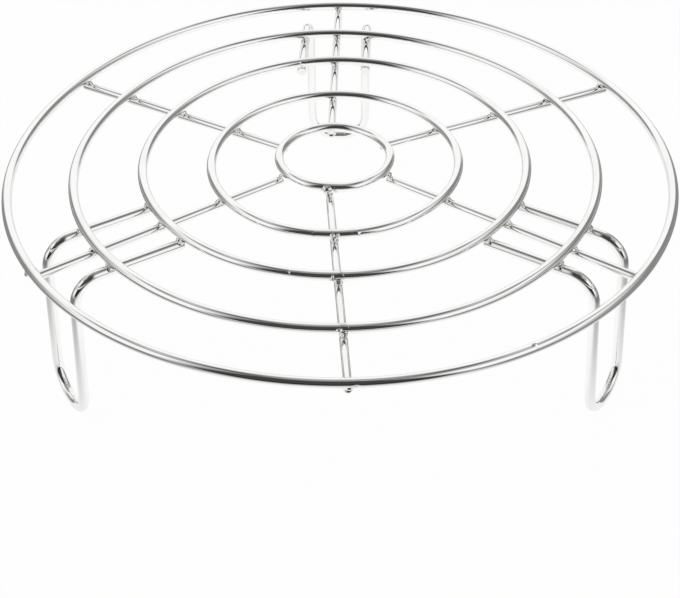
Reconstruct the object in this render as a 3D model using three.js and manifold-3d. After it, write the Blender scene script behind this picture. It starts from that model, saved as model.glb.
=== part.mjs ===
// Round steamer rack of welded wire: five rings lie on six spokes, and three bent legs carry them.
// Millimetres and degrees, +Z up. The origin is on the floor, under the middle of the outer ring.

import * as THREE from 'three';
import { mergeVertices } from 'three/addons/utils/BufferGeometryUtils.js';
import Module from 'manifold-3d';

const wasm = await Module();
wasm.setup();

// Whole rack
const rackHeight = 61.5; // floor to the top of the rings

// Wire diameters
const ringWire = 3.2;
const spokeWire = 2.8;
const legWire = 3.4;
const weldGap = 0.3; // upright gap between two wires that cross

// Rings, measured over the outside of the wire
const outerRingDiameter = 220;
const secondRingDiameter = 175;
const thirdRingDiameter = 130;
const fourthRingDiameter = 85;
const innerRingDiameter = 40;

// Wire ends
const spokeSetback = 1; // spoke's inner end, short of the middle of the inner ring
const armOverhang = 0.4; // leg arm past the middle of the third ring

// Legs, with bends measured at the middle of the wire
const legSpan = 22; // between the middles of a leg's two uprights
const armBendRadius = 9;
const footBendRadius = 9.9;

// Weld beads
const beadCollar = 0.8; // bead to each side of the lower wire
const beadRun = 1.4; // bead along the lower wire, past the side of the ring
const beadCap = 0.8; // bead past a wire's end
const beadHeight = 3.8;
const beadClearance = 0.2; // bead to the wires that it joins

// Facets
const wireSides = 8;
const bendSteps = 6;
const beadSides = 8;
const beadLayers = 4;

// Hand-welded places. A ring's drift is the place of its middle. Wires below the rings have a heading,
// counted from +X towards +Y, and pass the rack's axis at a distance aside, to the right of the heading.
// A spoke's outer end is past the middle of the outer ring. A leg's uprights lean outwards by the splay,
// the middle of its foot stands outside the second ring, and its arms are opened sideways by the spread.
const rings = {
  outer_ring: { diameter: outerRingDiameter, drift: [0, 0], steps: 64 },
  second_ring: { diameter: secondRingDiameter, drift: [-1.2, -0.6], steps: 56 },
  third_ring: { diameter: thirdRingDiameter, drift: [-1.4, 0.5], steps: 48 },
  fourth_ring: { diameter: fourthRingDiameter, drift: [-1.4, -1.2], steps: 40 },
  inner_ring: { diameter: innerRingDiameter, drift: [-1.5, 0.6], steps: 32 },
};
const spokes = {
  back_right_spoke: { heading: 24.15, aside: -4.45, past: 0.3 },
  back_spoke: { heading: 88.1, aside: -3.3, past: 0.3 },
  back_left_spoke: { heading: 149.6, aside: -0.3, past: 0.3 },
  front_left_spoke: { heading: 214.6, aside: 4.1, past: 1 },
  front_spoke: { heading: 273.2, aside: 4.2, past: 0.45 },
  front_right_spoke: { heading: 323.85, aside: -2.85, past: -0.8 },
};
const legs = {
  back_leg: { heading: 87.4, aside: -4.7, splay: 1.2, outside: 17.2, spread: 0.85 },
  left_leg: { heading: 211.6, aside: 0.9, splay: 4.4, outside: 16, spread: 0 },
  right_leg: { heading: 327, aside: 0.1, splay: 5.2, outside: 14.7, spread: 0 },
};

// Levels of the wires' middles
const ringLevel = rackHeight - ringWire / 2;
const spokeLevel = ringLevel - (ringWire + spokeWire) / 2 - weldGap;
const armLevel = ringLevel - (ringWire + legWire) / 2 - weldGap;
const weldLevel = ringLevel - (ringWire + weldGap) / 2;
const footLevel = legWire / 2;

const polishedSteel = new THREE.MeshStandardMaterial({ color: 0xd3d4d3, roughness: 0.16, metalness: 1 });
const weldSteel = new THREE.MeshStandardMaterial({ color: 0x9f9b93, roughness: 0.42, metalness: 1 });

const degrees = THREE.MathUtils.degToRad;

// Outline of a wire with flats above, below and to both sides, each half a diameter from the middle.
function wireSection(diameter, roll = 0) {
  const cornerRadius = diameter / 2 / Math.cos(Math.PI / wireSides);
  return Array.from({ length: wireSides }, (_, side) => {
    const angle = ((side + 0.5) / wireSides) * 2 * Math.PI + roll;
    return new THREE.Vector2(cornerRadius * Math.cos(angle), cornerRadius * Math.sin(angle));
  });
}

function middleRadius(ring) {
  return (ring.diameter - ringWire) / 2;
}

function ringGeometry(ring, wire) {
  const section = wireSection(wire).map((point) => point.add(new THREE.Vector2(middleRadius(ring), 0)));
  const profile = [...section, section[0].clone()];
  return new THREE.LatheGeometry(profile, ring.steps).rotateX(Math.PI / 2);
}

function straightWireGeometry(start, end, wire) {
  const cornerRadius = wire / 2 / Math.cos(Math.PI / wireSides);
  const run = new THREE.Vector3().subVectors(end, start);
  const geometry = new THREE.CylinderGeometry(cornerRadius, cornerRadius, run.length(), wireSides);
  geometry.rotateY(Math.PI / wireSides).rotateZ(-Math.PI / 2);
  geometry.rotateZ(Math.atan2(run.y, run.x));
  return geometry.translate(...start.clone().add(end).multiplyScalar(0.5));
}

// The middle line of a bent wire, as stations that each have a point and the wire's direction there.
class WirePath extends THREE.Curve {
  constructor(stations) {
    super();
    this.stations = stations;
  }

  stationAt(share) {
    return this.stations[Math.round(share * (this.stations.length - 1))];
  }

  getPointAt(share, target = new THREE.Vector3()) {
    return target.copy(this.stationAt(share).point);
  }

  getTangentAt(share, target = new THREE.Vector3()) {
    return target.copy(this.stationAt(share).direction);
  }
}

// A circular bend about a middle, from the direction of one unit vector to the direction of another.
function bendStations(middle, from, to, radius) {
  const axis = new THREE.Vector3().crossVectors(from, to).normalize();
  const turn = from.angleTo(to);
  return Array.from({ length: bendSteps + 1 }, (_, step) => {
    const outOfBend = from.clone().applyAxisAngle(axis, (turn * step) / bendSteps);
    const direction = new THREE.Vector3().crossVectors(axis, outOfBend);
    return { point: middle.clone().addScaledVector(outOfBend, radius), direction };
  });
}

// A leg whose arms run along +X: out along its right arm, down, across the foot, up and in along its left arm.
function legStations(splay, spread, reach, armStarts) {
  const halfSpan = legSpan / 2;
  const outwards = new THREE.Vector3(1, 0, 0);
  const upwards = new THREE.Vector3(0, 0, 1);
  const downLeg = new THREE.Vector3(Math.sin(splay), 0, -Math.cos(splay));
  const acrossLeg = new THREE.Vector3(Math.cos(splay), 0, Math.sin(splay));
  const cornerReach = reach - (armLevel - footLevel) * Math.tan(splay);
  const armReach = cornerReach - armBendRadius * Math.tan((Math.PI / 2 - splay) / 2);
  const footTop = new THREE.Vector3(reach, 0, footLevel).addScaledVector(downLeg, -footBendRadius);

  const [right, left] = [-1, 1].map((side, index) => {
    const sideways = new THREE.Vector3(0, side, 0);
    const armStart = new THREE.Vector3(armStarts[index], side * halfSpan, armLevel);
    const armBend = new THREE.Vector3(armReach, side * halfSpan, armLevel - armBendRadius);
    const footBend = footTop.clone().addScaledVector(sideways, halfSpan - footBendRadius);
    return { sideways, armStart, armBend, footBend };
  });
  const stations = [
    { point: right.armStart, direction: outwards },
    ...bendStations(right.armBend, upwards, acrossLeg, armBendRadius),
    ...bendStations(right.footBend, right.sideways, downLeg, footBendRadius),
    ...bendStations(left.footBend, downLeg, left.sideways, footBendRadius),
    ...bendStations(left.armBend, acrossLeg, upwards, armBendRadius),
    { point: left.armStart, direction: outwards.clone().negate() },
  ];
  const uprightTop = armLevel - armBendRadius * (1 - Math.sin(splay));
  for (const { point } of stations) {
    const rise = Math.max(0, (point.z - uprightTop) / (armLevel - uprightTop));
    point.y += Math.sign(point.y) * spread * rise ** 2;
  }
  return stations;
}

// The section is rolled by the splay, so that the flat under the foot lies level on the floor.
function legGeometry(leg, armStarts) {
  const splay = degrees(leg.splay);
  const section = new THREE.Shape(wireSection(legWire, splay));
  const stations = legStations(splay, leg.spread, secondRingDiameter / 2 + leg.outside, armStarts);
  return new THREE.ExtrudeGeometry(section, {
    steps: stations.length - 1,
    extrudePath: new WirePath(stations),
  });
}

// Where a straight lower wire passes under the far side of a ring, as a distance along its heading.
function crossing(line, ring) {
  const heading = degrees(line.heading);
  const along = new THREE.Vector2(Math.cos(heading), Math.sin(heading));
  const toRight = new THREE.Vector2(along.y, -along.x);
  const drift = new THREE.Vector2(...ring.drift);
  const beside = line.aside - drift.dot(toRight);
  return drift.dot(along) + Math.sqrt(middleRadius(ring) ** 2 - beside ** 2);
}

function pointOnLine(line, distance, level) {
  const heading = degrees(line.heading);
  const x = distance * Math.cos(heading) + line.aside * Math.sin(heading);
  const y = distance * Math.sin(heading) - line.aside * Math.cos(heading);
  return new THREE.Vector3(x, y, level);
}

function solidOf(geometry) {
  const bare = geometry.clone();
  bare.deleteAttribute('normal');
  bare.deleteAttribute('uv');
  const merged = mergeVertices(bare, 1e-4);
  const vertProperties = new Float32Array(merged.attributes.position.array);
  const triVerts = new Uint32Array(merged.index.array);
  return new wasm.Manifold(new wasm.Mesh({ numProp: 3, vertProperties, triVerts }));
}

function geometryOf(solid) {
  const { vertProperties, triVerts } = solid.getMesh();
  const geometry = new THREE.BufferGeometry();
  geometry.setAttribute('position', new THREE.BufferAttribute(vertProperties, 3));
  geometry.setIndex(new THREE.BufferAttribute(triVerts, 1));
  geometry.computeVertexNormals();
  return geometry;
}

// A squashed blob round a crossing, less the two wires. endSide is 1 where the lower wire ends outwards,
// -1 where it ends inwards and 0 where it goes on. endPast is its end past the middle of the ring.
function beadGeometry(line, lower, ring, endSide = 0, endPast = 0) {
  const distance = crossing(line, ring);
  const onward = ringWire / 2 + beadRun;
  const endward = endSide === 0 ? onward : endPast + beadCap;
  const halfLength = (onward + endward) / 2;
  const blob = new THREE.SphereGeometry(1, beadSides, beadLayers).rotateX(Math.PI / 2);
  blob.scale(halfLength, lower.wire / 2 + beadCollar, beadHeight / 2);
  blob.rotateZ(degrees(line.heading));
  blob.translate(...pointOnLine(line, distance + (endSide * (endward - onward)) / 2, weldLevel));

  const spare = 2 * beadClearance;
  const ringSpace = ringGeometry(ring, ringWire + spare).translate(...ring.drift, ringLevel);
  const [innerEnd, outerEnd] = [-1, 1].map((side) => {
    const run = endSide === side ? endPast + beadClearance : 2 * onward;
    return pointOnLine(line, distance + side * run, lower.level);
  });
  const wireSpace = straightWireGeometry(innerEnd, outerEnd, lower.wire + spare);
  return geometryOf(solidOf(blob).subtract(solidOf(ringSpace)).subtract(solidOf(wireSpace)));
}

function namedMesh(name, geometry, material) {
  const mesh = new THREE.Mesh(geometry, material);
  mesh.name = name;
  return mesh;
}

const rack = new THREE.Group();

for (const [name, ring] of Object.entries(rings)) {
  const mesh = namedMesh(name, ringGeometry(ring, ringWire), polishedSteel);
  mesh.position.set(...ring.drift, ringLevel);
  rack.add(mesh);
}

for (const [name, spoke] of Object.entries(spokes)) {
  const start = crossing(spoke, rings.inner_ring) + spokeSetback;
  const end = crossing(spoke, rings.outer_ring) + spoke.past;
  const ends = [start, end].map((distance) => pointOnLine(spoke, distance, spokeLevel));
  rack.add(namedMesh(name, straightWireGeometry(...ends, spokeWire), polishedSteel));
}

const spokeLay = { wire: spokeWire, level: spokeLevel };
for (const [name, spoke] of Object.entries(spokes)) {
  const wireEnds = { outer_ring: [1, spoke.past], inner_ring: [-1, -spokeSetback] };
  for (const [ringName, ring] of Object.entries(rings)) {
    const bead = beadGeometry(spoke, spokeLay, ring, ...(wireEnds[ringName] ?? []));
    rack.add(namedMesh(`${name}_${ringName}_weld`, bead, weldSteel));
  }
}

const armLay = { wire: legWire, level: armLevel };
const armEnds = { second_ring: [], third_ring: [-1, armOverhang] };
for (const [name, leg] of Object.entries(legs)) {
  const armAside = legSpan / 2 + leg.spread;
  const arms = {
    right: { heading: leg.heading, aside: leg.aside + armAside },
    left: { heading: leg.heading, aside: leg.aside - armAside },
  };
  const armStarts = Object.values(arms).map((arm) => crossing(arm, rings.third_ring) - armOverhang);
  const mesh = namedMesh(name, legGeometry(leg, armStarts), polishedSteel);
  mesh.position.copy(pointOnLine(leg, 0, 0));
  mesh.rotation.z = degrees(leg.heading);
  rack.add(mesh);

  for (const [side, arm] of Object.entries(arms)) {
    for (const [ringName, armEnd] of Object.entries(armEnds)) {
      const bead = beadGeometry(arm, armLay, rings[ringName], ...armEnd);
      rack.add(namedMesh(`${name}_${side}_arm_${ringName}_weld`, bead, weldSteel));
    }
  }
}

export default rack;
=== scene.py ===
import math

import bmesh
import bpy
import numpy as np
from mathutils import Matrix


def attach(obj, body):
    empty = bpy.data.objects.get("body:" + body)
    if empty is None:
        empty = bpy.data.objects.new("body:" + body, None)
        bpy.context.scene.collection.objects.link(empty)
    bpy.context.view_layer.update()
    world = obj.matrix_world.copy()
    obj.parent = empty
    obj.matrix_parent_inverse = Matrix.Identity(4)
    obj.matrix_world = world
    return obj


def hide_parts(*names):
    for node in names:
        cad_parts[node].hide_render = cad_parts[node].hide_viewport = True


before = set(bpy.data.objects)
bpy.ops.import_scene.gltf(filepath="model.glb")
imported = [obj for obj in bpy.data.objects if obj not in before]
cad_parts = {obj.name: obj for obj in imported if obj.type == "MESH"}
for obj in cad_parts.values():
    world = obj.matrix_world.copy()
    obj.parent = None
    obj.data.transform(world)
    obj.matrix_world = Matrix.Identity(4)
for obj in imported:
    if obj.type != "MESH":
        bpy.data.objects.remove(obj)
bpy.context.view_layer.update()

scene = bpy.context.scene
millimetre = 0.001  # in metres
wireSides = 24
upright = np.array((0.0, 0.0, 1.0))
print("frame:", len(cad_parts), "nodes")

# Camera at the photograph's angle
cameraSetup = {
    "eye": (-0.000187, -0.346681, 0.289898),
    "lookDown": 40.07,
    "roll": -0.56,
    "lens": 65.83,
    "sensor": 36,
    "clipStart": 0.01,
}


def placeCamera():
    camera = bpy.data.objects.new("studioCamera", bpy.data.cameras.new("studioCamera"))
    camera.data.sensor_width = cameraSetup["sensor"]
    camera.data.lens = cameraSetup["lens"]
    camera.data.clip_start = cameraSetup["clipStart"]
    tilt = Matrix.Rotation(math.radians(90 - cameraSetup["lookDown"]), 4, "X")
    roll = Matrix.Rotation(math.radians(cameraSetup["roll"]), 4, "Z")
    camera.matrix_world = Matrix.Translation(cameraSetup["eye"]) @ tilt @ roll
    scene.collection.objects.link(camera)
    scene.camera = camera


placeCamera()
scene.view_settings.view_transform = "Standard"
print("camera placed")


# A shader socket that takes plain operators, and the one method that adds nodes
class Shade:
    def __init__(self, tree, socket=None):
        self.tree, self.socket = tree, socket

    def node(self, kind, settings, sockets, output=0):
        made = self.tree.nodes.new(kind)
        for name, value in settings.items():
            if name == "stops":
                while len(made.color_ramp.elements) < len(value):
                    made.color_ramp.elements.new(0.5)
                for element, (place, colour) in zip(made.color_ramp.elements, value):
                    element.position, element.color = place, (*colour, 1)
            else:
                setattr(made, name, value)
        for name, value in sockets.items():
            if isinstance(value, Shade):
                self.tree.links.new(value.socket, made.inputs[name])
            else:
                made.inputs[name].default_value = value
        return Shade(self.tree, made.outputs[output] if made.outputs else None)

    def maths(self, operation, first, second):
        return self.node("ShaderNodeMath", {"operation": operation}, {0: first, 1: second})

    def __add__(self, other):
        return self.maths("ADD", self, other)

    def __radd__(self, other):
        return self.maths("ADD", other, self)

    def __sub__(self, other):
        return self.maths("SUBTRACT", self, other)

    def __rsub__(self, other):
        return self.maths("SUBTRACT", other, self)

    def __mul__(self, other):
        return self.maths("MULTIPLY", self, other)

    def __rmul__(self, other):
        return self.maths("MULTIPLY", other, self)

    def __truediv__(self, other):
        return self.maths("DIVIDE", self, other)

    def __rtruediv__(self, other):
        return self.maths("DIVIDE", other, self)

    def __pow__(self, other):
        return self.maths("POWER", self, other)

    def __rpow__(self, other):
        return self.maths("POWER", other, self)


def easeBetween(value, low, high):
    settings = {"interpolation_type": "SMOOTHSTEP"}
    return value.node("ShaderNodeMapRange", settings, {"Value": value, "From Min": low, "From Max": high})


def mixColour(share, first, second):
    colours = [value if isinstance(value, Shade) else (*value, 1) for value in (first, second)]
    return share.node("ShaderNodeMix", {"data_type": "RGBA"}, {0: share, 6: colours[0], 7: colours[1]}, 2)


def noiseAt(vector, stretch, detail):
    stretched = vector.node("ShaderNodeVectorMath", {"operation": "MULTIPLY"}, {0: vector, 1: stretch})
    return vector.node("ShaderNodeTexNoise", {}, {"Vector": stretched, "Scale": 1.0, "Detail": detail})


def newMaterial(name):
    material = bpy.data.materials.new(name)
    material.use_nodes = True
    material.node_tree.nodes.clear()
    return material, Shade(material.node_tree)


# Bright drawn wire: fine lines run along it, and it is a little browner beside a weld
wireFinish = {
    "bright": (0.96, 0.96, 0.955),
    "dull": (0.9, 0.9, 0.89),
    "heated": (0.66, 0.60, 0.50),
    "heatShare": 0.2,
    "heatReach": 3.6,  # millimetres from a weld
    "lineStretch": (3.2, 3.2, 0.05),
    "patchStretch": (0.3, 0.3, 0.06),
    "lineShare": 0.6,
    "wornBetween": (0.4, 0.68),
    "roughness": 0.02,
    "lineRoughness": 0.02,
    "heatRoughness": 0.03,
    "lineStrength": 0.5,
    "lineDepth": 0.000003,
}


def makeWireSteel():
    material, start = newMaterial("brightWire")
    run = start.node("ShaderNodeAttribute", {"attribute_name": "wireRun"}, {}, "Vector")
    heat = start.node("ShaderNodeAttribute", {"attribute_name": "weldHeat"}, {}, "Fac")
    lines = noiseAt(run, wireFinish["lineStretch"], 4.0)
    patches = noiseAt(run, wireFinish["patchStretch"], 2.0)
    share = wireFinish["lineShare"]
    worn = easeBetween(share * lines + (1 - share) * patches, *wireFinish["wornBetween"])
    base = mixColour(worn, wireFinish["bright"], wireFinish["dull"])
    base = mixColour(wireFinish["heatShare"] * heat, base, wireFinish["heated"])
    roughness = wireFinish["roughness"] + wireFinish["lineRoughness"] * worn + wireFinish["heatRoughness"] * heat
    bump = start.node("ShaderNodeBump", {}, {
        "Height": lines, "Strength": wireFinish["lineStrength"], "Distance": wireFinish["lineDepth"],
    })
    steel = start.node("ShaderNodeBsdfPrincipled", {}, {
        "Base Color": base, "Metallic": 1.0, "Roughness": roughness, "Normal": bump,
    })
    start.node("ShaderNodeOutputMaterial", {}, {"Surface": steel})
    return material


# Weld metal: polished over, duller than the wire, with small pits
weldFinish = {
    "bright": (0.9, 0.9, 0.89),
    "dark": (0.64, 0.63, 0.61),
    "roughness": 0.04,
    "pitRoughness": 0.06,
    "pitStretch": 1400.0,
    "stainStretch": 520.0,
    "stainBetween": (0.46, 0.7),
    "pitStrength": 0.6,
    "pitDepth": 0.00002,
}


def makeWeldSteel():
    material, start = newMaterial("weldMetal")
    place = start.node("ShaderNodeTexCoord", {}, {}, "Object")
    pits = noiseAt(place, [weldFinish["pitStretch"]] * 3, 3.0)
    stains = easeBetween(noiseAt(place, [weldFinish["stainStretch"]] * 3, 2.0), *weldFinish["stainBetween"])
    bump = start.node("ShaderNodeBump", {}, {
        "Height": pits, "Strength": weldFinish["pitStrength"], "Distance": weldFinish["pitDepth"],
    })
    steel = start.node("ShaderNodeBsdfPrincipled", {}, {
        "Base Color": mixColour(stains, weldFinish["bright"], weldFinish["dark"]),
        "Metallic": 1.0,
        "Roughness": weldFinish["roughness"] + weldFinish["pitRoughness"] * pits * stains,
        "Normal": bump,
    })
    start.node("ShaderNodeOutputMaterial", {}, {"Surface": steel})
    return material


wireSteel = makeWireSteel()
weldSteel = makeWeldSteel()
print("materials: wire and weld metal")

# Rings, over the outside of the wire. The bends make a ring slightly out of round: a count of lobes, with its
# cosine and sine. A mark is a small bump or dent where a ring's ends were butted or the wire was caught while hot:
# its heading, the way it faces round the wire (0 outwards, 90 down), its height and length.
ringSetup = {
    "wire": 3.2,
    "top": 61.5,
    "steps": 320,
    "wave": 0.05,  # hand-bent unevenness
    "waveLobes": (4, 5, 7, 9),
    "markSpan": 2.6,  # finer steps to each side of a mark, in lengths of it
    "markSteps": 36,
    "markFocus": 2.5,  # how narrow a mark is round the wire
    "rings": {
        "outer_ring": {
            "diameter": 220,
            "drift": (0, 0),
            "bends": [(0, -0.46, 0), (1, 0.13, -0.62), (2, -0.17, -0.09), (3, 0.11, -0.92), (4, 0.2, 0.15)],
            "marks": [(272.1, 35, -0.3, 0.8), (299.0, 235, 0.3, 0.6)],
        },
        "second_ring": {
            "diameter": 175,
            "drift": (-1.2, -0.6),
            "bends": [(0, -0.3, 0), (1, -0.15, -0.16), (2, -0.12, -0.09), (3, 0.16, -0.51), (4, 0.1, 0.19)],
            "marks": [(200.0, 60, 0.2, 0.7)],
        },
        "third_ring": {
            "diameter": 130,
            "drift": (-1.4, 0.5),
            "bends": [(0, -0.11, 0), (1, 0.07, -0.02), (2, -0.15, 0.12), (3, -0.18, -0.39), (4, 0.18, 0.06)],
            "marks": [(258.2, -40, 0.12, 0.6), (101.2, 140, -0.25, 0.6)],
        },
        "fourth_ring": {
            "diameter": 85,
            "drift": (-1.4, -1.2),
            "bends": [(0, 0.05, 0), (1, -0.07, -0.18), (2, -0.23, 0.17), (3, 0.03, -0.13), (4, 0.06, 0)],
            "marks": [(261.1, 0, 0.15, 0.6), (279.2, -10, 0.15, 0.6)],
        },
        "inner_ring": {
            "diameter": 40,
            "drift": (-1.5, 0.6),
            "bends": [(0, -0.21, 0), (1, -0.02, -0.29), (2, 0.16, -0.12), (3, -0.01, -0.11), (4, 0.06, 0.06)],
            "marks": [(40.0, 60, 0.2, 0.6)],
        },
    },
}
ringLevel = ringSetup["top"] - ringSetup["wire"] / 2

# Spokes, each along a heading that passes the axis at a distance to its right. The inner end stops short of the
# inner ring's middle, and the last number is the outer end past the outer ring's middle.
spokeSetup = {
    "wire": 2.8,
    "spacing": 3.0,
    "weldGap": 0.3,
    "bevel": 0.35,
    "dish": 0.45,  # how far a cut end is hollow
    "setback": 1.0,
    "lines": {
        "back_right_spoke": (24.15, -4.45, 1.3),
        "back_spoke": (88.1, -3.3, 0.3),
        "back_left_spoke": (149.6, -0.3, 1.2),
        "front_left_spoke": (214.6, 4.1, 0.0),
        "front_spoke": (273.2, 4.2, -0.7),
        "front_right_spoke": (323.85, -2.85, -0.8),
    },
}
spokeLevel = ringLevel - (ringSetup["wire"] + spokeSetup["wire"]) / 2 - spokeSetup["weldGap"]

# Legs, each one wire: an arm, a bend, an upright, the foot, and back up to the other arm. The spread is how far the
# arms are opened outwards from the uprights.
legSetup = {
    "wire": 3.4,
    "spacing": 0.8,
    "span": 22.0,
    "armBend": 9.0,
    "footBend": 9.9,
    "bevel": 0.15,
    "overhang": 0.4,
    "armLine": 100,  # where the line of an arm ends for its welds
    "legs": {
        "back_leg": {"heading": 87.4, "aside": -4.7, "splay": 1.2, "reach": 104.7, "spread": 0.85},
        "left_leg": {"heading": 211.6, "aside": 0.9, "splay": 4.4, "reach": 103.5, "spread": 0.0},
        "right_leg": {"heading": 327.0, "aside": 0.1, "splay": 5.2, "reach": 102.2, "spread": 0.0},
    },
}
armLevel = ringLevel - (ringSetup["wire"] + legSetup["wire"]) / 2 - spokeSetup["weldGap"]
footLevel = legSetup["wire"] / 2


def ringRadius(ring):
    return (ringSetup["rings"][ring]["diameter"] - ringSetup["wire"]) / 2


def ringBend(ring, turns):
    bends = ringSetup["rings"][ring]["bends"]
    return sum(cosine * np.cos(lobes * turns) + sine * np.sin(lobes * turns) for lobes, cosine, sine in bends)


def pointOnLine(heading, aside, distance, level):
    turn = math.radians(heading)
    along = np.array((math.cos(turn), math.sin(turn)))
    flat = along * distance + np.array((along[1], -along[0])) * aside
    return np.array((*flat, level))


def crossingDistance(heading, aside, ring):
    turn = math.radians(heading)
    along = np.array((math.cos(turn), math.sin(turn)))
    drift = np.array(ringSetup["rings"][ring]["drift"])
    beside = aside - drift @ np.array((along[1], -along[0]))
    return drift @ along + math.sqrt(ringRadius(ring) ** 2 - beside**2) + ringBend(ring, turn)


# Every place where a ring lies on a lower wire
def listWelds():
    welds = []
    for spoke, (heading, aside, past) in spokeSetup["lines"].items():
        start = crossingDistance(heading, aside, "inner_ring") + spokeSetup["setback"]
        end = crossingDistance(heading, aside, "outer_ring") + past
        line = [pointOnLine(heading, aside, distance, spokeLevel) for distance in (start, end)]
        for ring in ringSetup["rings"]:
            spot = pointOnLine(heading, aside, crossingDistance(heading, aside, ring), ringLevel)
            welds.append({"group": spoke, "node": f"{spoke}_{ring}_weld", "ring": ring, "line": line,
                          "wire": spokeSetup["wire"], "spot": spot})
    for leg, shape in legSetup["legs"].items():
        for arm, side in (("right", 1), ("left", -1)):
            heading, aside = shape["heading"], shape["aside"] + side * (legSetup["span"] / 2 + shape["spread"])
            start = crossingDistance(heading, aside, "third_ring") - legSetup["overhang"]
            line = [pointOnLine(heading, aside, distance, armLevel) for distance in (start, legSetup["armLine"])]
            for ring in ("second_ring", "third_ring"):
                spot = pointOnLine(heading, aside, crossingDistance(heading, aside, ring), ringLevel)
                welds.append({"group": leg, "node": f"{leg}_{arm}_arm_{ring}_weld", "ring": ring, "line": line,
                              "wire": legSetup["wire"], "spot": spot})
    for weld in welds:
        weld["spot"][2] -= (ringSetup["wire"] + spokeSetup["weldGap"]) / 2
    return welds


welds = listWelds()


def pieceName(node, ending):
    return node.replace("_", " ").title().replace(" ", "") + ending


def addPiece(name, vertices, faces, material, nodes):
    mesh = bpy.data.meshes.new(name)
    mesh.from_pydata((vertices * millimetre).tolist(), [], faces)
    mesh.polygons.foreach_set("use_smooth", [True] * len(mesh.polygons))
    mesh.materials.append(material)
    piece = bpy.data.objects.new(name, mesh)
    scene.collection.objects.link(piece)
    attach(piece, "root")
    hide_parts(*nodes)
    return piece


# Circles on a cut end, as shares of its radius and dish, and steps of a bevel, as shares of its length and width
capRows = ((0.8, 0.5), (0.5, 0.85))
bevelRows = np.array(((0.0, 0.25), (0.2, 0.6), (0.5, 0.87), (1.0, 1.0)))


# Round wire round a middle line, with its own straightened coordinates and its nearness to a weld
def addWire(node, points, across, above, radii, closed, dish=0):
    count = len(points)
    angles = np.arange(wireSides) * 2 * math.pi / wireSides
    flat = np.stack([radii * np.cos(angles), radii * np.sin(angles)], -1)
    vertices = points[:, None] + flat[..., :1] * across[:, None] + flat[..., 1:] * above[:, None]
    lengths = np.concatenate([[0], np.cumsum(np.linalg.norm(np.diff(points, axis=0), axis=1))])
    run = np.concatenate([flat, np.broadcast_to(lengths[:, None, None], (count, wireSides, 1))], -1)
    vertices, run = vertices.reshape(-1, 3), run.reshape(-1, 3)
    faces = []
    for step in range(count if closed else count - 1):
        here, there = step * wireSides, (step + 1) % count * wireSides
        for side in range(wireSides):
            after = (side + 1) % wireSides
            faces.append((here + side, here + after, there + after, there + side))
    if not closed:
        last = (count - 1) * wireSides
        ends = ((0, points[0], points[1], 0), (last, points[-1], points[-2], lengths[-1]))
        for rim, middle, before, length in ends:
            inward = before - middle
            inward = inward / np.linalg.norm(inward) * dish
            edge, rows = vertices[rim:rim + wireSides] - middle, [rim]
            for share, depth in capRows:
                rows.append(len(vertices))
                vertices = np.concatenate([vertices, middle + share * edge + depth * inward])
                run = np.concatenate([run, run[rim:rim + wireSides] * (share, share, 1)])
            vertices = np.concatenate([vertices, [middle + inward]])
            run = np.concatenate([run, [(0, 0, length)]])
            for side in range(wireSides):
                after = (side + 1) % wireSides
                cap = [
                    (outer + side, inner + side, inner + after, outer + after)
                    for outer, inner in zip(rows, rows[1:])
                ]
                cap.append((rows[-1] + side, len(vertices) - 1, rows[-1] + after))
                faces.extend(face[::-1] if rim else face for face in cap)
    piece = addPiece(pieceName(node, "Wire"), vertices, faces, wireSteel, [node])
    spots = np.array([weld["spot"] for weld in welds])
    nearest = np.min(np.linalg.norm(vertices[:, None] - spots[None], axis=2), axis=1)
    heat = np.exp(-((nearest / wireFinish["heatReach"]) ** 2))
    piece.data.attributes.new("wireRun", "FLOAT_VECTOR", "POINT").data.foreach_set("vector", run.ravel())
    piece.data.attributes.new("weldHeat", "FLOAT", "POINT").data.foreach_set("value", heat)


def addRing(node, dice):
    ring = ringSetup["rings"][node]
    radius = ringRadius(node)
    angles = np.arange(ringSetup["steps"]) * 2 * math.pi / ringSetup["steps"]
    span = ringSetup["markSpan"]
    for heading, *_, length in ring["marks"]:
        finer = np.linspace(-span, span, ringSetup["markSteps"]) * length / radius
        angles = np.concatenate([angles, math.radians(heading) + finer])
    angles = np.unique(np.round(angles % (2 * math.pi), 6))
    reach, level = radius + ringBend(node, angles), np.full(len(angles), ringLevel)
    for lobes in ringSetup["waveLobes"]:
        sway, rise, swayStart, riseStart = dice.uniform(-1, 1, 4)
        reach += ringSetup["wave"] * sway * np.sin(lobes * angles + math.pi * swayStart)
        level += ringSetup["wave"] * rise * np.sin(lobes * angles + math.pi * riseStart)
    outward = np.stack([np.cos(angles), np.sin(angles), np.zeros_like(angles)], -1)
    points = outward * reach[:, None] + np.array((*ring["drift"], 0.0)) + level[:, None] * upright
    radii = np.full((len(angles), wireSides), ringSetup["wire"] / 2)
    for heading, face, height, length in ring["marks"]:
        arc = (np.mod(angles - math.radians(heading) + math.pi, 2 * math.pi) - math.pi) * radius
        turn = np.arange(wireSides) * 2 * math.pi / wireSides - math.radians(face)
        focus = np.exp(ringSetup["markFocus"] * (np.cos(turn) - 1))
        radii = radii + height * np.exp(-((arc / length) ** 2))[:, None] * focus
    addWire(node, points, outward, np.broadcast_to(-upright, points.shape), radii, True)


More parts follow.
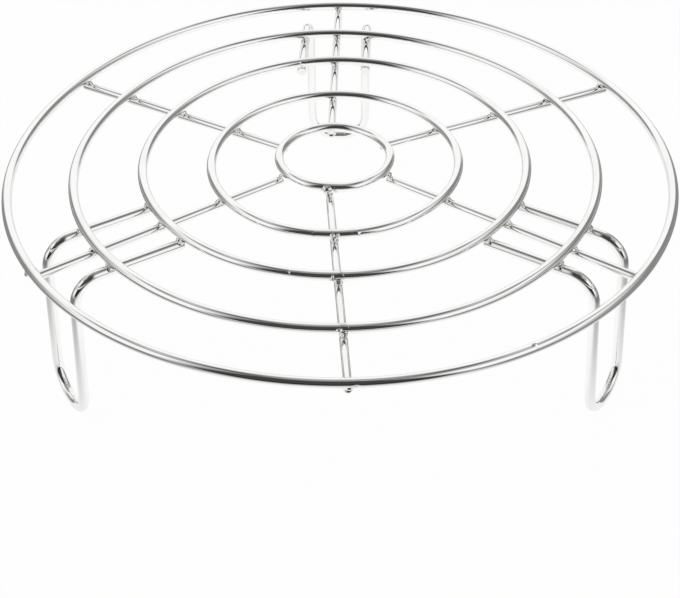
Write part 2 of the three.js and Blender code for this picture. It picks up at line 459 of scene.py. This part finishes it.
# A wire along a line of corners, sampled evenly, with the edges of its cut ends taken off. The dish is how far the
# saw or the mill has gone in at the middle of an end.
def addOpenWire(node, corners, setup, dish=0):
    corners, radius, bevel = np.array(corners), setup["wire"] / 2, setup["bevel"]
    lengths = np.concatenate([[0], np.cumsum(np.linalg.norm(np.diff(corners, axis=0), axis=1))])
    total = lengths[-1]
    ends = bevel * bevelRows[:, 0]
    inner = np.linspace(bevel, total - bevel, int(total / setup["spacing"]))[1:-1]
    places = np.concatenate([ends, inner, total - ends[::-1]])
    points = np.stack([np.interp(places, lengths, corners[:, axis]) for axis in range(3)], -1)
    forward = np.gradient(points, places, axis=0)
    forward /= np.linalg.norm(forward, axis=1)[:, None]
    across = np.zeros_like(points)
    side = np.cross(upright, forward[0])
    for step, direction in enumerate(forward):
        side = side - side @ direction * direction
        side = side / np.linalg.norm(side)
        across[step] = side
    radii = np.full((len(places), 1), radius)
    rows = len(bevelRows)
    radii[:rows, 0] = radius - bevel + bevel * bevelRows[:, 1]
    radii[-rows:] = radii[rows - 1::-1]
    addWire(node, points, across, np.cross(forward, across), radii, False, dish)


bendSteps = 49


def bendPoints(middle, start, end, radius):
    turn = math.acos(start @ end)
    shares = np.linspace(0, 1, bendSteps)[:, None]
    return middle + radius * (np.sin((1 - shares) * turn) * start + np.sin(shares * turn) * end) / math.sin(turn)


def addLeg(node):
    leg = legSetup["legs"][node]
    splay = math.radians(leg["splay"])
    downLeg = np.array((math.sin(splay), 0, -math.cos(splay)))
    acrossLeg = np.array((math.cos(splay), 0, math.sin(splay)))
    halfSpan = legSetup["span"] / 2
    corner = leg["reach"] - (armLevel - footLevel) * math.tan(splay)
    armReach = corner - legSetup["armBend"] * math.tan((math.pi / 2 - splay) / 2)
    footTop = np.array((leg["reach"], 0, footLevel)) - downLeg * legSetup["footBend"]
    halves = []
    for side in (-1, 1):
        sideways = np.array((0.0, side, 0.0))
        armSide = side * (halfSpan + leg["spread"])
        start = crossingDistance(leg["heading"], leg["aside"] - armSide, "third_ring") - legSetup["overhang"]
        armMiddle = np.array((armReach, side * halfSpan, armLevel - legSetup["armBend"]))
        footMiddle = footTop + sideways * (halfSpan - legSetup["footBend"])
        knee = bendPoints(armMiddle, upright, acrossLeg, legSetup["armBend"])
        rise = (knee[:, 2] - knee[-1, 2]) / (armLevel - knee[-1, 2])
        halves.append(np.concatenate([
            [(start, armSide, armLevel)],
            knee + leg["spread"] * rise[:, None] ** 2 * sideways,
            bendPoints(footMiddle, sideways, downLeg, legSetup["footBend"]),
        ]))
    corners = np.concatenate([halves[0], halves[1][::-1]])
    turn = math.radians(leg["heading"])
    along = np.array((math.cos(turn), math.sin(turn), 0))
    left = np.array((-math.sin(turn), math.cos(turn), 0))
    place = pointOnLine(leg["heading"], leg["aside"], 0, 0)
    corners = place + corners[:, :1] * along + corners[:, 1:2] * left + corners[:, 2:] * upright
    addOpenWire(node, corners, legSetup)


dice = np.random.default_rng(7)
for ringNode in ringSetup["rings"]:
    addRing(ringNode, dice)
print("rings:", len(ringSetup["rings"]))
for spokeNode in spokeSetup["lines"]:
    line = next(weld["line"] for weld in welds if weld["group"] == spokeNode)
    addOpenWire(spokeNode, line, spokeSetup, spokeSetup["dish"])
print("spokes:", len(spokeSetup["lines"]))
for legNode in legSetup["legs"]:
    addLeg(legNode)
print("legs:", len(legSetup["legs"]))

# Welds: a little metal drawn into the crevice between two wires, with small lumps. A splash is a larger drop:
# its place along the wire, to its left and up from the crevice, and its half sizes.
weldSetup = {
    "fillet": 1.25,
    "filletRange": (0.85, 1.1),
    "sink": 0.05,  # below the wires' faces where the weld ends
    "bridgeSize": (0.7, 0.8, 0.6),
    "bridgeRise": 0.1,
    "fromEnd": 0.3,  # lumps to a wire's end
    "lumpSize": (0.6, 0.75, 0.5),
    "lumpRange": (0.7, 1.1),
    "lumpAlong": (1.1, 1.5),
    "lumpAside": (-0.6, 0.6),
    "lumpRise": (-0.1, 0.3),
    "lumpBlend": 0.6,
    "unevenness": 0.07,
    "ridges": 3,
    "ridgeRange": (1.6, 3.2),
    "middleRise": 0.6,  # from the crevice to a point inside the ring
    "step": 0.06,
    "stepsPast": 0.8,
    "limit": (2.5, 2.2, 2.0),
    "splashLimit": (3.0, 3.4, 3.6),
    "slim": {"back_leg_right_arm_third_ring_weld": 0.5, "back_leg_left_arm_third_ring_weld": 0.5},
    "splashes": {
        "front_spoke_second_ring_weld": [(1.35, -1.2, 2.2, 0.5, 0.7, 0.5), (1.7, 0.4, 0.5, 0.6, 0.8, 0.5)],
        "front_spoke_third_ring_weld": [(1.4, -2.1, 2.2, 0.35, 0.4, 0.8), (1.7, 0.2, 0.4, 0.5, 0.9, 0.4)],
        "front_spoke_fourth_ring_weld": [(1.4, -0.5, 2.3, 0.4, 0.5, 0.4), (1.4, 1.2, 2.4, 0.4, 0.4, 0.5),
                                         (1.6, -0.2, 0.7, 0.6, 0.9, 0.5)],
        "front_spoke_inner_ring_weld": [(1.2, -0.6, 1.4, 1.0, 1.5, 1.5)],
        "front_spoke_outer_ring_weld": [(1.3, 0.1, 0.8, 0.55, 0.75, 0.5)],
        "front_left_spoke_outer_ring_weld": [(1.5, 0.0, 0.5, 0.6, 0.7, 0.6)],
    },
}


def smoothMin(first, second, blend):
    share = np.maximum(blend - np.abs(first - second), 0) / blend
    return np.minimum(first, second) - share * share * blend / 4


def weldDepth(points, weld, dice):
    drift = ringSetup["rings"][weld["ring"]]["drift"]
    east, north = points[..., 0] - drift[0], points[..., 1] - drift[1]
    toRing = np.hypot(east, north) - ringRadius(weld["ring"]) - ringBend(weld["ring"], np.arctan2(north, east))
    ringDepth = np.hypot(toRing, points[..., 2] - ringLevel) - ringSetup["wire"] / 2 + weldSetup["sink"]
    start, end = weld["line"]
    length = np.linalg.norm(end - start)
    along = (end - start) / length
    left = np.cross(upright, along)
    radius = weld["wire"] / 2
    share = np.clip((points - start) @ along, radius, length - radius)
    wireDepth = np.linalg.norm(points - start - share[..., None] * along, axis=-1) - radius + weldSetup["sink"]
    slim = weldSetup["slim"].get(weld["node"], 1)
    depth = smoothMin(ringDepth, wireDepth, slim * weldSetup["fillet"] * dice.uniform(*weldSetup["filletRange"]))
    fromSpot = points - weld["spot"]
    local = np.stack([fromSpot @ along, fromSpot @ left, fromSpot[..., 2]], -1)
    splashes = weldSetup["splashes"].get(weld["node"], [])
    lumps = [(splash[:3], np.array(splash[3:])) for splash in splashes]
    first = (start - weld["spot"]) @ along + weldSetup["fromEnd"]
    last = (end - weld["spot"]) @ along - weldSetup["fromEnd"]
    bridge = (np.clip(0, first, last), 0, weldSetup["bridgeRise"])
    lumps.append((bridge, slim * np.array(weldSetup["bridgeSize"])))
    for side in (-1, 1):
        away, aside, rise = [dice.uniform(*weldSetup[name]) for name in ("lumpAlong", "lumpAside", "lumpRise")]
        if first < side * away < last:
            size = slim * np.array(weldSetup["lumpSize"]) * dice.uniform(*weldSetup["lumpRange"], 3)
            lumps.append(((side * away, aside, rise), size))
    for place, size in lumps:
        lumpDepth = (np.linalg.norm((local - place) / size, axis=-1) - 1) * size.min()
        depth = smoothMin(depth, lumpDepth, weldSetup["lumpBlend"])
    for _ in range(weldSetup["ridges"]):
        ridge = dice.normal(size=3)
        ridge *= dice.uniform(*weldSetup["ridgeRange"]) / np.linalg.norm(ridge)
        depth = depth + weldSetup["unevenness"] / 2 * np.sin(local @ ridge + dice.uniform(0, 6.3))
    limit = np.array(weldSetup["splashLimit" if splashes else "limit"])
    return np.maximum(depth, (np.linalg.norm(local / limit, axis=-1) - 1) * limit.min())


def makeBall(divisions):
    ball = bmesh.new()
    bmesh.ops.create_icosphere(ball, subdivisions=divisions, radius=1)
    directions = np.array([vertex.co for vertex in ball.verts])
    faces = np.array([[vertex.index for vertex in face.verts] for face in ball.faces])
    ball.free()
    return directions / np.linalg.norm(directions, axis=1)[:, None], faces


def addWelds(group, directions, ballFaces):
    step = weldSetup["step"]
    steps = np.arange(0, max(weldSetup["splashLimit"]) + weldSetup["stepsPast"], step)
    vertices, faces, nodes = [], [], []
    for weld in [weld for weld in welds if weld["group"] == group]:
        dice = np.random.default_rng(len(weld["node"]) * 1000 + int(abs(weld["spot"][0]) * 10) + len(nodes))
        middle = weld["spot"] + weldSetup["middleRise"] * upright
        depth = weldDepth(middle + steps[:, None, None] * directions, weld, dice)
        after = np.argmax(depth > 0, axis=0)
        column = np.arange(len(directions))
        inner, outer = depth[after - 1, column], depth[after, column]
        reach = steps[after - 1] + step * inner / (inner - outer)
        faces.extend((ballFaces + len(nodes) * len(directions)).tolist())
        vertices.append(middle + reach[:, None] * directions)
        nodes.append(weld["node"])
    addPiece(pieceName(group, "Welds"), np.concatenate(vertices), faces, weldSteel, nodes)


ballDirections, ballFaces = makeBall(5)
for weldGroup in [*spokeSetup["lines"], *legSetup["legs"]]:
    addWelds(weldGroup, ballDirections, ballFaces)
print("welds:", len(welds))


# Directions round about, in degrees from the front to the right
def turnOf(x, y):
    return math.degrees(1) * x.node("ShaderNodeMath", {"operation": "ARCTAN2"}, {0: x, 1: -1 * y})


# Colour by a value between 0 and 1. Only the dark stops take the tint.
def shadeRamp(value, stops, tint=(1, 1, 1)):
    stops = [(place, [shade * (part + (1 - part) * shade) for part in tint]) for place, shade in stops]
    return value.node("ShaderNodeValToRGB", {"stops": stops}, {0: value})


def insideSpan(value, rise, fall):
    return easeBetween(value, *rise) * (1 - easeBetween(value, *fall))


# Floor: pale, and white to the camera apart from a faint shadow. The wires mirror it white near the middle and
# dimmer farther off, by the distance in metres.
floorSetup = {
    "size": 6.0,
    "reach": 2.0,  # of the three ramps
    "colour": (0.9, 0.9, 0.9),
    "whiteShare": 0.97,
    "fade": (0.25, 0.7),
    "front": [(0, 1.0), (0.12, 1.0), (0.15, 0.93), (0.18, 0.85), (0.22, 0.72), (0.29, 0.52),
              (0.36, 0.4), (0.45, 0.3), (0.7, 0.16), (1.2, 0.05), (2.0, 0.012)],
    "sides": [(0, 1.0), (0.09, 0.98), (0.12, 0.82), (0.15, 0.6), (0.175, 0.43), (0.205, 0.31),
              (0.25, 0.21), (0.35, 0.19), (0.55, 0.25), (1.0, 0.42), (2.0, 0.6)],
    "back": [(0, 1.0), (0.09, 1.0), (0.12, 0.93), (0.15, 0.88), (0.19, 0.78), (0.23, 0.7),
             (0.3, 0.82), (0.4, 0.95), (2.0, 1.0)],
    "frontTurns": ((-42, -24), (22, 40)),
    "backTurns": (135, 155),
}


def addFloor():
    mesh = bpy.data.meshes.new("studioFloor")
    half = floorSetup["size"] / 2
    mesh.from_pydata([(-half, -half, 0), (half, -half, 0), (half, half, 0), (-half, half, 0)], [], [(0, 1, 2, 3)])
    floor = bpy.data.objects.new("studioFloor", mesh)
    scene.collection.objects.link(floor)
    material, start = newMaterial("paleFloor")
    seen, mirrored = [start.node("ShaderNodeLightPath", {}, {}, name) for name in ("Is Camera Ray", "Is Glossy Ray")]
    place = start.node("ShaderNodeTexCoord", {}, {}, "Object")
    x, y = [start.node("ShaderNodeSeparateXYZ", {}, {"Vector": place}, axis) for axis in "XY"]
    distance = start.node("ShaderNodeVectorMath", {"operation": "LENGTH"}, {0: place}, "Value")
    turn = turnOf(x, y)
    reach = floorSetup["reach"]
    front, sides, back = [
        shadeRamp(distance / reach, [(metres / reach, shade) for metres, shade in floorSetup[name]])
        for name in ("front", "sides", "back")
    ]
    colour = mixColour(easeBetween((turn * turn) ** 0.5, *floorSetup["backTurns"]), sides, back)
    colour = mixColour(insideSpan(turn, *floorSetup["frontTurns"]), colour, front)
    white = floorSetup["whiteShare"]
    matt = start.node("ShaderNodeBsdfDiffuse", {}, {"Color": (*floorSetup["colour"], 1)})
    glow = start.node("ShaderNodeEmission", {}, {"Color": mixColour(seen, colour, (1, 1, 1)), "Strength": 1.0})
    share = mirrored + seen * (white + (1 - white) * easeBetween(distance, *floorSetup["fade"]))
    floorShader = start.node("ShaderNodeMixShader", {}, {0: share, 1: matt, 2: glow})
    start.node("ShaderNodeOutputMaterial", {}, {"Surface": floorShader})
    mesh.materials.append(material)


# Studio: white round about, dark on the camera's side, with a dim ceiling and a grey screen at each side. Heights are
# up from the horizon.
studioSetup = {
    "front": [(-90, 1.0), (-10, 0.4), (-3, 0.08), (0, 0.015), (5, 0.012), (10, 0.03), (16, 0.05), (45, 0.06),
              (60, 0.05), (67, 0.07), (75, 0.15), (90, 0.35)],
    "sides": [(-90, 1.0), (-40, 0.8), (-20, 0.4), (-3, 0.4), (0, 0.65), (6, 0.97), (46, 1.0),
              (51, 0.5), (55, 0.28), (58, 0.4), (62, 0.6), (66, 0.3), (70, 0.12), (75, 0.14), (80, 0.34),
              (90, 0.42)],
    "back": [(-90, 1.0), (48, 1.0), (55, 0.88), (62, 0.55), (72, 0.36), (90, 0.4)],
    "frontTurns": ((-58, -38), (31, 44)),
    "frontSlant": 0.25,
    "backTurns": (140, 158),
    "leftScreen": {"turns": ((-144, -133), (-112, -76)), "top": (16, 46), "slant": 0.0, "shade": 0.24},
    "rightScreen": {"turns": ((40, 100), (141, 153)), "top": (26, 54), "slant": 0.45, "shade": 0.25},
    "slantTurn": 115,  # where a slanted top has its own height
    "warmth": (1.0, 0.955, 0.91),
    "lampPower": 5.0,
    "lampSize": 1.1,
    "lampPlace": (-0.35, -0.45, 1.3),
    "lampTilt": -15,
}


def addStudio():
    world = bpy.data.worlds.new("studio")
    scene.world = world
    world.use_nodes = True
    world.node_tree.nodes.clear()
    start = Shade(world.node_tree)
    facing = start.node("ShaderNodeTexCoord", {}, {}, "Generated")
    x, y, z = [start.node("ShaderNodeSeparateXYZ", {}, {"Vector": facing}, axis) for axis in "XYZ"]
    turn = turnOf(x, y)
    height = math.degrees(1) * start.node("ShaderNodeMath", {"operation": "ARCSINE"}, {0: z})
    tints = {"front": studioSetup["warmth"], "sides": (1, 1, 1), "back": (1, 1, 1)}
    front, sides, back = [
        shadeRamp(height / 180 + 0.5, [(angle / 180 + 0.5, shade) for angle, shade in studioSetup[name]], tint)
        for name, tint in tints.items()
    ]
    colour = mixColour(easeBetween((turn * turn) ** 0.5, *studioSetup["backTurns"]), sides, back)
    for name in ("leftScreen", "rightScreen"):
        screen = studioSetup[name]
        slanted = height + screen["slant"] * (studioSetup["slantTurn"] - turn)
        inScreen = insideSpan(turn, *screen["turns"]) * (1 - easeBetween(slanted, *screen["top"]))
        colour = mixColour(inScreen, colour, [screen["shade"]] * 3)
    leftEdge, rightEdge = studioSetup["frontTurns"]
    inFront = easeBetween(turn, *leftEdge) * (1 - easeBetween(turn + studioSetup["frontSlant"] * height, *rightEdge))
    colour = mixColour(inFront, colour, front)
    seen = start.node("ShaderNodeLightPath", {}, {}, "Is Camera Ray")
    colour = mixColour(seen, colour, (1, 1, 1))
    background = start.node("ShaderNodeBackground", {}, {"Color": colour, "Strength": 1.0})
    start.node("ShaderNodeOutputWorld", {}, {"Surface": background})
    lamp = bpy.data.objects.new("softLamp", bpy.data.lights.new("softLamp", "AREA"))
    lamp.data.energy, lamp.data.size = studioSetup["lampPower"], studioSetup["lampSize"]
    tilt = Matrix.Rotation(math.radians(studioSetup["lampTilt"]), 4, "X")
    lamp.matrix_world = Matrix.Translation(studioSetup["lampPlace"]) @ tilt
    lamp.visible_glossy = False
    scene.collection.objects.link(lamp)


addFloor()
addStudio()
print("floor and studio made")
